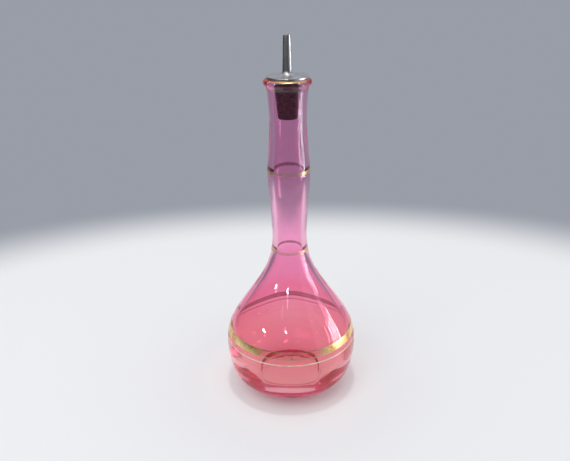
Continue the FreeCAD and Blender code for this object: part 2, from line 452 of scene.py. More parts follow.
    def turn(
        self, name: str, outline: Outline, finish: bpy.types.Material, **sizes: float
    ) -> bpy.types.Object:
        """Turn an outline into a plain mesh object.

        Args:
            name: the name of the new object.
            outline: what is turned.
            finish: its material.
            sizes: the tree's inputs by name, with underscores for spaces.

        Returns:
            The object, with its place in its mesh.
        """
        mesh = bpy.data.meshes.new(name)
        edges = [(i, i + 1) for i in range(len(outline.points) - 1)]
        mesh.from_pydata([(radius, 0.0, height) for radius, height in outline.points], edges, [])
        for weight in Weight:
            values = [row[weight.value] for row in outline.weights]
            mesh.attributes.new(weight.name, "FLOAT", "POINT").data.foreach_set("value", values)
        piece = bpy.data.objects.new(name, mesh)
        bpy.context.scene.collection.objects.link(piece)
        modifier = piece.modifiers.new("turning", "NODES")
        modifier.node_group = self.tree
        modifier[self.keys["Finish"]] = finish
        for key, value in {"Crease": self.CREASE, **sizes}.items():
            modifier[self.keys[key.replace("_", " ")]] = value
        bpy.context.view_layer.update()
        turned = piece.evaluated_get(bpy.context.evaluated_depsgraph_get())
        piece.data = bpy.data.meshes.new_from_object(turned)
        piece.modifiers.clear()
        piece.data.name = name
        return piece


# Finishes


@dataclass(frozen=True)
class Pattern:
    """A noise pattern: lumps per metre, finer layers, its scale along X, Y and Z, and distortion."""

    scale: float
    detail: float = 3.0
    stretch: Place = (1.0, 1.0, 1.0)
    warp: float = 0.0


class Shader(NodeTree):
    """A material's node tree, with what the finishes share."""

    def __init__(self, name: str) -> None:
        """Start a material with a principled surface that reads object coordinates."""
        self.material = bpy.data.materials.new(name)
        self.material.use_nodes = True
        super().__init__(self.material.node_tree)
        self.surface = self.tree.nodes["Principled BSDF"]
        self.output = self.tree.nodes["Material Output"]
        self.place = self.node("ShaderNodeTexCoord").outputs["Object"]

    def set(self, **values: object) -> None:
        """Set inputs of the surface by name, with underscores for spaces."""
        for name, value in values.items():
            self.feed(self.surface.inputs[name.replace("_", " ")], value)

    def hypotenuse(self, first: Socket, second: Socket) -> Socket:
        """Give the root of the sum of two squares."""
        squares = [self.maths("MULTIPLY", value, value) for value in (first, second)]
        return self.maths("SQRT", self.maths("ADD", *squares))

    def parts(self) -> bpy.types.bpy_prop_collection:
        """Give X, Y and Z of the object coordinates."""
        return self.node("ShaderNodeSeparateXYZ", Vector=self.place).outputs

    def outward(self) -> Socket:
        """Tell which side of a film is seen.

        Returns:
            1 where the surface faces away from the axis, and 0 where it faces the axis.
        """
        normal = self.node("ShaderNodeNewGeometry").outputs["Normal"]
        level = self.maths("MULTIPLY", self.place, (1.0, 1.0, 0.0), kind=self.VECTOR)
        along = self.maths("DOT_PRODUCT", level, normal, kind=self.VECTOR, output="Value")
        return self.maths("GREATER_THAN", along, 0.0)

    def noise(self, pattern: Pattern) -> Socket:
        """Add a noise pattern.

        Args:
            pattern: its sizes.

        Returns:
            A value from 0 to 1.
        """
        mapped = self.node("ShaderNodeMapping", Vector=self.place, Scale=pattern.stretch).outputs[0]
        node = self.node("ShaderNodeTexNoise", Vector=mapped, Scale=pattern.scale, Detail=pattern.detail,
                         Distortion=pattern.warp)
        return node.outputs[0]

    def bump(self, height: Socket, depth: float) -> None:
        """Roughen the surface by a height pattern, with its depth in metres."""
        self.set(Normal=self.node("ShaderNodeBump", Strength=1.0, Distance=depth, Height=height).outputs[0])

    def glow(self, tone: Colour) -> Socket:
        """Give a surface that shows one tone in any light."""
        return self.node("ShaderNodeEmission", Color=tone).outputs[0]

    def blend(self, share: Socket, first: Socket, second: Socket) -> Socket:
        """Mix two surfaces.

        Args:
            share: how much of the second one shows.
            first: the first surface.
            second: the second surface.

        Returns:
            The mixed surface.
        """
        node = self.node("ShaderNodeMixShader")
        for socket, value in zip(node.inputs, (share, first, second)):
            self.feed(socket, value)
        return node.outputs[0]


@dataclass(frozen=True)
class RubyGlass:
    """Clear glass flashed with pink ruby, deeper in the bowl than in the neck."""

    index: float = 1.52
    absorbed: Colour = (0.97, 0.30, 0.62)
    density: float = 40.0
    neck_tint: Colour = (1.0, 0.67, 0.84)
    shoulder_tint: Colour = (1.0, 0.58, 0.76)
    bowl_tint: Colour = (1.0, 0.46, 0.58)
    heel_tint: Colour = (1.0, 0.66, 0.62)
    neck_height: float = 0.130
    shoulder_height: float = 0.080
    bowl_height: float = 0.055
    heel_height: float = 0.022

    def material(self) -> bpy.types.Material:
        """Make the glass.

        Returns:
            The material: its surface tint follows the height, and its ruby deepens with thickness.
        """
        shader = Shader("ruby_glass")
        height = shader.parts()["Z"]
        tint, low = self.heel_tint, self.heel_height
        for high, next_tint in (
            (self.bowl_height, self.bowl_tint),
            (self.shoulder_height, self.shoulder_tint),
            (self.neck_height, self.neck_tint),
        ):
            tint, low = shader.mix(shader.remap(height, (low, high)), tint, next_tint), high
        shader.set(Base_Color=tint, Roughness=0.0, IOR=self.index, Transmission_Weight=1.0)
        volume = shader.node("ShaderNodeVolumeAbsorption", Color=self.absorbed, Density=self.density)
        shader.feed(shader.output.inputs["Volume"], volume.outputs[0])
        return shader.material


@dataclass(frozen=True)
class FiredGilt:
    """Thin fired gold, rubbed through in places and most of all in front.

    A facing is 1 in front of the axis and -1 behind it. Each rubbed range runs from gold that is
    whole to gold that is rubbed, and left is what a rubbed place keeps. The gold wears less near
    the heights in edges.
    """

    gold: Colour = (0.84, 0.56, 0.20)
    pale: Colour = (0.93, 0.68, 0.35)
    under: Colour = (0.26, 0.14, 0.11)
    patches: Pattern = Pattern(90.0, 4.0, warp=0.6)
    pale_patches: Span = (0.35, 0.60)
    rubbed_patches: Span = (0.50, 0.72)
    rubbed_facing: Span = (0.80, 0.93)
    rubbed_behind: Span = (-0.2, -0.8)
    worn_behind: float = 0.7
    left: float = 0.02
    scratches: Pattern = Pattern(700.0, stretch=(1.0, 1.0, 0.15))
    scratched: Span = (0.30, 0.62)
    scratch_wear: Span = (0.88, 1.0)
    scratch_depth: float = 0.00002
    rough_scratches: Span = (0.3, 0.7)
    roughness: Span = (0.26, 0.42)
    edges: tuple[float, ...] = ()
    edge_width: float = 0.0004
    edge_wear: float = 0.45

    def material(self, name: str) -> bpy.types.Material:
        """Make the gold.

        Args:
            name: the name of the material.

        Returns:
            The material.
        """
        shader = Shader(name)
        patches, scratches = shader.noise(self.patches), shader.noise(self.scratches)
        away = shader.parts()
        front = shader.maths("MULTIPLY", away["Y"], -1.0)
        facing = shader.maths("DIVIDE", front, shader.hypotenuse(away["X"], away["Y"]))
        behind = shader.remap(facing, self.rubbed_behind, (0.0, self.worn_behind))
        rubbed = shader.remap(patches, self.rubbed_patches)
        for other in (shader.remap(facing, self.rubbed_facing), behind):
            rubbed = shader.maths("MAXIMUM", rubbed, other)
        thin = shader.maths("MULTIPLY", rubbed, shader.remap(scratches, self.scratched, self.scratch_wear))
        near_edge = (self.edge_width / 2, self.edge_width * 2)
        for edge in self.edges:
            gap = shader.maths("ABSOLUTE", shader.maths("SUBTRACT", away["Z"], edge))
            thin = shader.maths("MULTIPLY", thin, shader.remap(gap, near_edge, (self.edge_wear, 1.0)))
        alpha = shader.maths("SUBTRACT", 1.0, shader.maths("MULTIPLY", thin, 1.0 - self.left))
        roughness = shader.remap(scratches, self.rough_scratches, self.roughness)
        colour = shader.mix(shader.remap(patches, self.pale_patches), self.pale, self.gold)
        colour = shader.mix(shader.outward(), self.under, colour)
        shader.set(Base_Color=colour, Metallic=1.0, Roughness=roughness, Alpha=alpha)
        shader.bump(scratches, self.scratch_depth)
        return shader.material


@dataclass(frozen=True)
class OldCork:
    """Dark stained cork with pits and lenticels."""

    light: Colour = (0.080, 0.026, 0.020)
    dark: Colour = (0.016, 0.006, 0.006)
    grain: Pattern = Pattern(420.0, 5.0, stretch=(1.0, 1.0, 2.2))
    dark_grain: Span = (0.35, 0.65)
    pits: Pattern = Pattern(900.0, 2.0)
    pitted: Span = (0.60, 0.74)
    roughness: float = 0.85
    relief: float = 0.0004

    def material(self) -> bpy.types.Material:
        """Make the cork.

        Returns:
            The material.
        """
        shader = Shader("old_cork")
        grain = shader.noise(self.grain)
        pits = shader.remap(shader.noise(self.pits), self.pitted)
        colour = shader.mix(shader.remap(grain, self.dark_grain), self.light, self.dark)
        colour = shader.mix(pits, colour, self.dark)
        shader.set(Base_Color=colour, Roughness=self.roughness)
        shader.bump(shader.maths("SUBTRACT", grain, pits), self.relief)
        return shader.material


@dataclass(frozen=True)
class CastMetal:
    """Dull cast white metal, greyed, stained and lightly pitted."""

    bright: Colour = (0.74, 0.73, 0.73)
    grey: Colour = (0.50, 0.49, 0.50)
    stained: Colour = (0.22, 0.21, 0.21)
    cloud: Pattern = Pattern(260.0, 4.0)
    grey_cloud: Span = (0.35, 0.65)
    rough_cloud: Span = (0.3, 0.7)
    roughness: Span = (0.26, 0.40)
    stain: Pattern = Pattern(900.0, 4.0, stretch=(1.0, 1.0, 0.5))
    stain_patches: Span = (0.55, 0.75)
    stain_share: Span = (0.0, 0.5)
    grit: Pattern = Pattern(2600.0)
    grit_share: float = 0.4
    relief: float = 0.00007

    def material(self) -> bpy.types.Material:
        """Make the metal.

        Returns:
            The material.
        """
        shader = Shader("cast_white_metal")
        cloud, grit, stain = [shader.noise(pattern) for pattern in (self.cloud, self.grit, self.stain)]
        colour = shader.mix(shader.remap(cloud, self.grey_cloud), self.bright, self.grey)
        colour = shader.mix(shader.remap(stain, self.stain_patches, self.stain_share), colour, self.stained)
        roughness = shader.remap(cloud, self.rough_cloud, self.roughness)
        shader.set(Base_Color=colour, Metallic=1.0, Roughness=roughness)
        height = shader.maths("ADD", shader.maths("MULTIPLY", grit, self.grit_share), stain)
        shader.bump(height, self.relief)
        return shader.material


# Sub-assemblies


def dress(piece: bpy.types.Object, body: Body, node: str, slot: Slot) -> None:
    """Put a finished piece in a node's place.

    Args:
        piece: the finished piece.
        body: the body that it moves with.
        node: the node that it stands for.
        slot: the slot that its finish comes from; not used.
    """
    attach(piece, body.value)
    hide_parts(node)
    corners = piece.data.vertices
    height = max(v.co.z for v in corners) - min(v.co.z for v in corners)
    faces = len(piece.data.polygons)
    LOG.info("%s: %d faces, %.1f mm high, rides on %s", piece.name, faces, height * 1000, body.value)


@dataclass
class Glass:
    """The blown bottle: outside, lip, inside and hollow base.

    Each shape holds stations of the outside, as shares of the height and of the radius between two
    named places. The heel's tuck pulls the inside in over the floor. The knee of the hollow base is
    given in shares of its radius and height, and its end is its direction at the ring.
    """

    body_height: float = 0.1143
    neck_length: float = 0.1029
    bowl_radius: float = 0.04518
    widest_height: float = 0.0325
    foot_radius: float = 0.0240
    foot_ring_width: float = 0.0025
    foot_rounding: float = 0.0004
    neck_foot_radius: float = 0.01145
    swell_radius: float = 0.0138
    swell_rise: float = 0.0405
    waist_radius: float = 0.0118
    waist_drop: float = 0.0274
    stem_radius: float = 0.01295
    lip_height: float = 0.0059
    lip_radius: float = 0.0150
    bead_radius: float = 0.0022
    bead_undercut: float = 50.0
    mouth_radius: float = 0.00845
    mouth_rounding: float = 0.0011
    swell_wall: float = 0.0039
    neck_foot_wall: float = 0.0035
    shoulder_wall: float = 0.0032
    bowl_wall: float = 0.0028
    heel_wall: float = 0.0036
    floor_thickness: float = 0.0080
    push_up: float = 0.0060
    centre_thickness: float = 0.0060
    heel_tuck: float = 0.9
    hollow_knee: Point = (0.6, 0.75)
    hollow_end: Point = (1.0, -0.7)
    step: float = 0.0012
    sides: int = 216
    ring_points: int = 4
    bead_points: int = 18
    mouth_points: int = 8
    bore_points: int = 12
    panels: int = 7
    panel_depth: float = 0.0013
    panel_turn: float = 106.0
    panel_roundness: float = 0.6
    panel_top: float = 0.022
    shoulder_end: float = 0.080
    wave_depth: float = 0.00012
    wave_scale: float = 40.0
    wave_seed: float = 3.0
    heel_shape: tuple[Point, ...] = ((0.132, 0.380), (0.332, 0.770), (0.597, 0.922))
    shoulder_shape: tuple[Point, ...] = (
        (0.156, 0.056), (0.367, 0.334), (0.578, 0.681), (0.735, 0.882), (0.895, 0.985)
    )
    lower_neck_shape: tuple[Point, ...] = ((0.270, 0.230), (0.590, 0.530))
    upper_neck_shape: tuple[Point, ...] = ((0.630, 0.720),)
    stem_shape: tuple[Point, ...] = ((0.600, 0.360),)

    def __post_init__(self) -> None:
        """Work out the places that follow from the sizes."""
        self.lip_top = self.body_height + self.neck_length
        self.waist_height = self.lip_top - self.waist_drop
        self.bead = (self.lip_radius - self.bead_radius, self.lip_top - self.bead_radius)
        self.mouth_edge = self.lip_top - self.mouth_rounding
        self.outside = SmoothCurve(self._outside_stations())

    @staticmethod
    def _between(low: Point, high: Point, shape: tuple[Point, ...]) -> list[Point]:
        """Give stations between two (radius, height) pairs, from shares of height and radius."""
        return [(low[0] + out * (high[0] - low[0]), low[1] + up * (high[1] - low[1])) for up, out in shape]

    def _outside_stations(self) -> list[Point]:
        """Give the stations of the outside.

        Returns:
            The (radius, height) pairs, from the foot to the lip.
        """
        foot = (self.foot_radius, 0.0)
        widest = (self.bowl_radius, self.widest_height)
        neck_foot = (self.neck_foot_radius, self.body_height)
        swell = (self.swell_radius, self.body_height + self.swell_rise)
        waist = (self.waist_radius, self.waist_height)
        lip_foot = (self.stem_radius, self.lip_top - self.lip_height)
        return (
            [foot] + self._between(foot, widest, self.heel_shape)
            + [widest] + self._between(widest, neck_foot, self.shoulder_shape)
            + [neck_foot] + self._between(neck_foot, swell, self.lower_neck_shape)
            + [swell] + self._between(swell, waist, self.upper_neck_shape)
            + [waist] + self._between(waist, lip_foot, self.stem_shape) + [lip_foot]
        )

    def _inside(self) -> SmoothCurve:
        """Follow the outside at the thickness of the wall.

        Returns:
            The inside, from the middle of the floor up to the foot of the mouth's straight bore.
        """
        outside, heel_end = self.outside, len(self.heel_shape)
        widest = heel_end + 1
        neck_foot = widest + len(self.shoulder_shape) + 1
        swell = neck_foot + len(self.lower_neck_shape) + 1
        floor_top = self.push_up + self.centre_thickness
        floor_edge = self.foot_radius + self.foot_ring_width
        heel = outside.inward(heel_end, widest, self.heel_wall)[0]
        halfway = (floor_edge / 2, (floor_top * 3 + self.floor_thickness) / 4)
        corner = (heel[0] * self.heel_tuck, (self.floor_thickness + heel[1]) / 2)
        stations = [(0.0, floor_top), halfway, (floor_edge, self.floor_thickness), corner, heel]
        stations += outside.inward(widest, widest + 2, self.bowl_wall)
        stations += outside.inward(widest + 2, neck_foot - 1, self.shoulder_wall)
        stations += outside.inward(neck_foot - 1, neck_foot + 1, self.neck_foot_wall)
        stations += outside.inward(neck_foot + 1, swell, (self.neck_foot_wall + self.swell_wall) / 2)
        stations += outside.inward(swell, swell + 1 + len(self.upper_neck_shape), self.swell_wall)
        stations += [(self.mouth_radius, self.waist_height)]
        return SmoothCurve(stations, start=(1, 0), end=(0, 1))

    def _base(self) -> list[Point]:
        """Shape the hollow under the base and the ring that the bottle rests on.

        Returns:
            The points, from the axis out to the bottom of the ring.
        """
        ring_inside = self.foot_radius - self.foot_ring_width
        knee = (ring_inside * self.hollow_knee[0], self.push_up * self.hollow_knee[1])
        stations = [(0.0, self.push_up), knee, (ring_inside, 0.0)]
        hollow = SmoothCurve(stations, start=(1, 0), end=self.hollow_end)
        rounding = self.foot_rounding
        ring = arc((ring_inside + rounding, rounding), rounding, 225, 270, self.ring_points)
        return [point for point in hollow.sampled(self.step) if point[1] > rounding] + ring

    def outline(self) -> Outline:
        """Draw the whole bottle.

        Returns:
            The outline, from the middle of the base round to the middle of the floor.
        """
        shape = Outline()
        shape.add(self._base())
        shape.add(self.outside.sampled(self.step))
        undercut = on_circle(self.bead, self.bead_radius, -self.bead_undercut)
        stem = self.outside.stations[-1]
        cove = ((stem[0] * 2 + undercut[0]) / 3, (stem[1] + undercut[1]) / 2)
        shape.add(SmoothCurve([tuple(stem), cove, undercut]).sampled(self.step / 3))
        shape.add(arc(self.bead, self.bead_radius, -self.bead_undercut, 90, self.bead_points))
        mouth = (self.mouth_radius + self.mouth_rounding, self.mouth_edge)
        shape.add(arc(mouth, self.mouth_rounding, 90, 180, self.mouth_points))
        bore_foot = (self.mouth_radius, self.waist_height)
        shape.add(straight((self.mouth_radius, self.mouth_edge), bore_foot, self.bore_points))
        first = len(shape.points)
        shape.add(list(reversed(self._inside().sampled(self.step))), ripple=1, uneven=1)
        shape.fade(Weight.RIPPLE, self.shoulder_end, self.panel_top, first)
        shape.fade(Weight.UNEVEN, self.lip_top, self.waist_height, first)
        return shape

    def build(self, tree: TurningTree, finish: RubyGlass) -> None:
        """Make the bottle and put it in place.

        Args:
            tree: what turns it.
            finish: its glass.
        """
        outline = self.outline()
        LOG.info("glass outline: %d points", len(outline.points))
        piece = tree.turn("blown_glass", outline, finish.material(), Sides=self.sides, Ripples=self.panels,
                          Ripple_Depth=self.panel_depth, Ripple_Turn=math.radians(self.panel_turn),
                          Ripple_Roundness=self.panel_roundness,
                          Uneven_Depth=self.wave_depth, Uneven_Scale=self.wave_scale, Seed=self.wave_seed)
        dress(piece, Body.BOTTLE, "glass_bottle", Slot.GLASS)


@dataclass
class Gilding:
    """The five gold films: four rings round the glass and one over the lip."""

    glass: Glass
    film: float = 0.00010
    lift: float = 0.00001
    body_band_height: float = 0.04295
    body_band_width: float = 0.00495
    body_line_drop: float = 0.0040
    body_line_width: float = 0.00065
    shoulder_ring_drop: float = 0.0108
    shoulder_ring_width: float = 0.0019
    neck_band_rise: float = 0.0442
    neck_band_width: float = 0.0022
    lip_from: float = 42.0
    lip_to: float = 90.0
    sides: int = 216
    points: int = 9

    def body_band_edges(self) -> Span:
        """Give the heights of the wide band's two edges."""
        return (self.body_band_height, self.body_band_height + self.body_band_width)

    def _ring(self, low: float, width: float) -> Outline:
        """Give the outline of a film round the glass.

        Args:
            low: the height of its lower edge.
            width: its width along the height.

        Returns:
            The closed outline.
        """
        heights = np.linspace(low, low + width, self.points)
        outside = [(self.glass.outside.radius_at(z) + self.film, z) for z in heights]
        inside = [(self.glass.outside.radius_at(z) + self.lift, z) for z in reversed(heights)]
        shape = Outline()
        shape.add(outside + inside + outside[:1])
        return shape

    def _lip(self) -> Outline:
        """Lay a film over the lip.

        Returns:
            The closed outline.
        """
        bead, radius = self.glass.bead, self.glass.bead_radius
        outside = arc(bead, radius + self.film, self.lip_from, self.lip_to, self.points)
        inside = arc(bead, radius + self.lift, self.lip_to, self.lip_from, self.points)
        shape = Outline()
        shape.add(outside + inside + outside[:1])
        return shape

    def build(
        self, tree: TurningTree, body: FiredGilt, line: FiredGilt, neck_gold: FiredGilt, lip: FiredGilt
    ) -> None:
        """Make the films and put them in place.

        Args:
            tree: what turns them.
            body: the gold of the wide band.
            line: the gold of the thin line.
            neck_gold: the gold of the two rings higher up.
            lip: the gold of the lip.
        """
        rubbed, kept = body.material("fired_gilt_body"), line.material("fired_gilt_line")
        handled, rim = neck_gold.material("fired_gilt_neck"), lip.material("fired_gilt_lip")
        height, glass = self.body_band_height, self.glass
        shoulder = glass.body_height - self.shoulder_ring_drop
        neck = glass.body_height + self.neck_band_rise
        films = {
            "gilt_body_band": (self._ring(height, self.body_band_width), rubbed),
            "gilt_body_line": (self._ring(height - self.body_line_drop, self.body_line_width), kept),
            "gilt_shoulder_ring": (self._ring(shoulder, self.shoulder_ring_width), handled),
            "gilt_neck_band": (self._ring(neck, self.neck_band_width), handled),
            "gilt_lip_band": (self._lip(), rim),
        }
        for node, (outline, finish) in films.items():
            piece = tree.turn(node.replace("gilt_", "gold_"), outline, finish, Sides=self.sides)
            dress(piece, Body.BOTTLE, node, Slot.GILT)


@dataclass
class Stopper:
    """The tapered cork and the cast pourer that it carries.

    The crown's share is how much of its rise is done halfway from the rim to the spout.
    """

    glass: Glass
    cork_length: float = 0.0244
    cork_bottom_radius: float = 0.0061
    cork_rounding: float = 0.0006
    cork_clearance: float = 0.00015
    disc_radius: float = 0.0130
    disc_thickness: float = 0.0014
    disc_crown: float = 0.0006
    crown_share: float = 0.75
    crown_step: float = 0.0005
    disc_rounding: float = 0.0003
    disc_to_lip: float = 0.0002
    disc_to_cork: float = 0.00005
    spout_foot_radius: float = 0.0031
    spout_tip_radius: float = 0.0024
    spout_fillet: float = 0.0024
    spout_height: float = 0.0235
    tip_slant: float = 12.0
    tip_rounding: float = 0.0003
    outlet_radius: float = 0.0015
    outlet_length: float = 0.0120
    channel_radius: float = 0.0018
    stem_radius: float = 0.0030
    stem_clearance: float = 0.00006
    stem_overhang: float = 0.0005
    rib_height: float = 0.0005
    ribs: int = 3
    end_points: int = 8
    side_points: int = 90
    cork_edge_points: int = 5
    disc_points: int = 6
    rim_points: int = 7
    fillet_points: int = 12
    spout_points: int = 40
    tip_points: int = 5
    outlet_rim_points: int = 4
    outlet_points: int = 14
    cork_sides: int = 160
    metal_sides: int = 144
    cork_pitting: float = 0.00010
    cork_pit_scale: float = 700.0
    cork_seed: float = 1.0
    metal_wobble: float = 0.00006
    metal_wobble_scale: float = 260.0
    metal_seed: float = 2.0

    def __post_init__(self) -> None:
        """Work out the places that follow from the sizes."""
        self.disc_bottom = self.glass.lip_top + self.disc_to_lip
        self.cork_top = self.disc_bottom - self.disc_to_cork
        self.cork_bottom = self.cork_top - self.cork_length
        self.crown_top = self.disc_bottom + self.disc_thickness + self.disc_crown
        self.spout_top = self.crown_top + self.spout_height
        self.stem_bottom = self.cork_bottom - self.stem_overhang

    def _stem(self, growth: float) -> list[Point]:
        """Shape the ribbed stem.

        Args:
            growth: how much larger than the stem its radius is.

        Returns:
            The points, from its foot up to the disc.
        """
        radius, pitch = self.stem_radius + growth, self.cork_length / (self.ribs + 1)
        stations = [(radius, self.disc_bottom)]
        for rib in range(1, self.ribs + 1):
            middle = self.cork_top - rib * pitch
            stations += [(radius, middle + self.rib_height), (radius + self.rib_height, middle),
                         (radius, middle - self.rib_height)]
        return list(reversed(stations + [(radius, self.stem_bottom)]))

    def cork_outline(self) -> Outline:
        """Draw the cork.

        Returns:
            The closed outline, from its bore round its outside and back down the bore.
        """
        top_radius = self.glass.mouth_radius - self.cork_clearance
        taper = (top_radius - self.cork_bottom_radius) / (self.glass.mouth_edge - self.cork_bottom)
        stem = self._stem(self.stem_clearance)
        bore = [point for point in stem if self.cork_bottom < point[1] < self.cork_top]
        inner = bore[0][0]
        rounding = self.cork_rounding
        low = (self.cork_bottom_radius - rounding, self.cork_bottom + rounding)
        shape = Outline()
        shape.add(straight((inner, self.cork_bottom), (low[0], self.cork_bottom), self.end_points))
        shape.add(arc(low, rounding, 285, 350, self.cork_edge_points), uneven=0.5)
        side = (self.cork_bottom_radius + taper * rounding, self.cork_bottom + rounding)
        top = (self.cork_bottom_radius + taper * self.cork_length, self.cork_top)
        shape.add(straight(side, top, self.side_points), uneven=1)
        shape.weights[-1] = (0, 0, 0)
        shape.add(straight(top, (inner, self.cork_top), self.end_points))
        shape.add(list(reversed(bore)))
        shape.add([(inner, self.cork_bottom)])
        return shape

    def pourer_outline(self) -> Outline:
        """Draw the pourer.

        Returns:
            The closed outline, up its stem, over its disc and spout and down its bore.
        """
        rim = self.disc_rounding
        rim_centre = (self.disc_radius - rim, self.disc_bottom + rim)
        rim_high = (self.disc_radius - rim, self.disc_bottom + self.disc_thickness - rim)
        foot, fillet = self.spout_foot_radius, self.spout_fillet
        fillet_centre = (foot + fillet, self.crown_top + fillet)
        rim_top = (rim_centre[0], self.disc_bottom + self.disc_thickness)
        crown = ((rim_top[0] + fillet_centre[0]) / 2, rim_top[1] + self.disc_crown * self.crown_share)
        crest = SmoothCurve([rim_top, crown, (fillet_centre[0], self.crown_top)], end=(-1, 0))
        tip, rounding = self.spout_tip_radius, self.tip_rounding
        tip_edge, inner_rounding = self.spout_top - rounding, rounding / 2
        outlet_rim = (self.outlet_radius + inner_rounding, self.spout_top - inner_rounding)
        outlet_foot = self.spout_top - self.outlet_length
        shape = Outline()
        shape.add([(self.channel_radius, self.stem_bottom)] + self._stem(0))
        stem_top = (self.stem_radius, self.disc_bottom)
        shape.add(straight(stem_top, (rim_centre[0], self.disc_bottom), self.disc_points))
        shape.add(arc(rim_centre, rim, -90, 0, self.rim_points), uneven=1)
        shape.add(arc(rim_high, rim, 0, 90, self.rim_points), uneven=1)
        shape.add(crest.sampled(self.crown_step), uneven=1)
        shape.add(arc(fillet_centre, fillet, 270, 180, self.fillet_points), uneven=1)
        spout = len(shape.points)
        shape.add(straight((foot, fillet_centre[1]), (tip, tip_edge), self.spout_points), slant=1, uneven=1)
        shape.add(arc((tip - rounding, tip_edge), rounding, 0, 90, self.tip_points), slant=1, uneven=0.5)
        shape.add(arc(outlet_rim, inner_rounding, 90, 180, self.outlet_rim_points), slant=1)
        outlet_top = (self.outlet_radius, tip_edge)
        shape.add(straight(outlet_top, (self.outlet_radius, outlet_foot), self.outlet_points), slant=1)
        level, slanted = self.spout_top - self.spout_height / 3, self.spout_top - 3 * rounding
        shape.fade(Weight.SLANT, level, slanted, spout)
        shape.add([(self.channel_radius, outlet_foot - (self.channel_radius - self.outlet_radius)),
                   (self.channel_radius, self.stem_bottom)])
        return shape

    def build(self, tree: TurningTree, cork: OldCork, metal: CastMetal) -> None:
        """Make the cork and the pourer and put them in place.

        Args:
            tree: what turns them.
            cork: the finish of the cork.
            metal: the finish of the pourer.
        """
        piece = tree.turn("bored_cork", self.cork_outline(), cork.material(), Sides=self.cork_sides,
                          Uneven_Depth=self.cork_pitting, Uneven_Scale=self.cork_pit_scale,
                          Seed=self.cork_seed)
        dress(piece, Body.STOPPER, "cork", Slot.CORK)
        piece = tree.turn("cast_pourer", self.pourer_outline(), metal.material(), Sides=self.metal_sides,
                          Slant=math.tan(math.radians(self.tip_slant)), Uneven_Depth=self.metal_wobble,
                          Uneven_Scale=self.metal_wobble_scale, Seed=self.metal_seed)
        dress(piece, Body.POURER, "pourer", Slot.METAL)


# Studio


@dataclass(frozen=True)
class Lamp:
    """A soft rectangular lamp that faces the bottle.

    Azimuth 0 is the camera's side and +90 is the right; elevation is above the floor. Its lean
    turns it about the line to the bottle.
    """

    name: str
    azimuth: float
    elevation: float
    distance: float
    width: float
    height: float
    watts: float
    tint: Colour = (1.0, 1.0, 1.0)
    lean: float = 0.0
    only_glints: bool = False

    def place(self, target: Vector) -> None:
        """Add the lamp to the scene, aimed at a point.

        Args:
            target: the point that it faces.
        """
        turn, rise = math.radians(self.azimuth), math.radians(self.elevation)
        away = Vector((math.sin(turn) * math.cos(rise), -math.cos(turn) * math.cos(rise), math.sin(rise)))
        light = bpy.data.lights.new(self.name, "AREA")
        light.shape, light.size, light.size_y = "RECTANGLE", self.width, self.height
        light.energy, light.color = self.watts, self.tint
        lamp = bpy.data.objects.new(self.name, light)
        lamp.location = target + away * self.distance
        upright = away.to_track_quat("Z", "Y")
        lamp.rotation_euler = (upright @ Quaternion((0, 0, 1), math.radians(self.lean))).to_euler()
        lamp.visible_camera = False
        if self.only_glints:
            lamp.visible_diffuse = False
        bpy.context.scene.collection.objects.link(lamp)


def window_lamps(azimuths: dict[str, float]) -> tuple[Lamp, ...]:
    """Give the upright bars of light of a window on the right, which only glints show.

    Args:
        azimuths: each bar's azimuth, by its name.

    Returns:
        The lamps.
    """
    return tuple(
        Lamp(f"window_right_{name}", azimuth, elevation=1, distance=0.5, width=0.014, height=0.22,
             watts=0.19, tint=(0.94, 0.97, 1.0), lean=-5, only_glints=True)
        for name, azimuth in azimuths.items()
    )


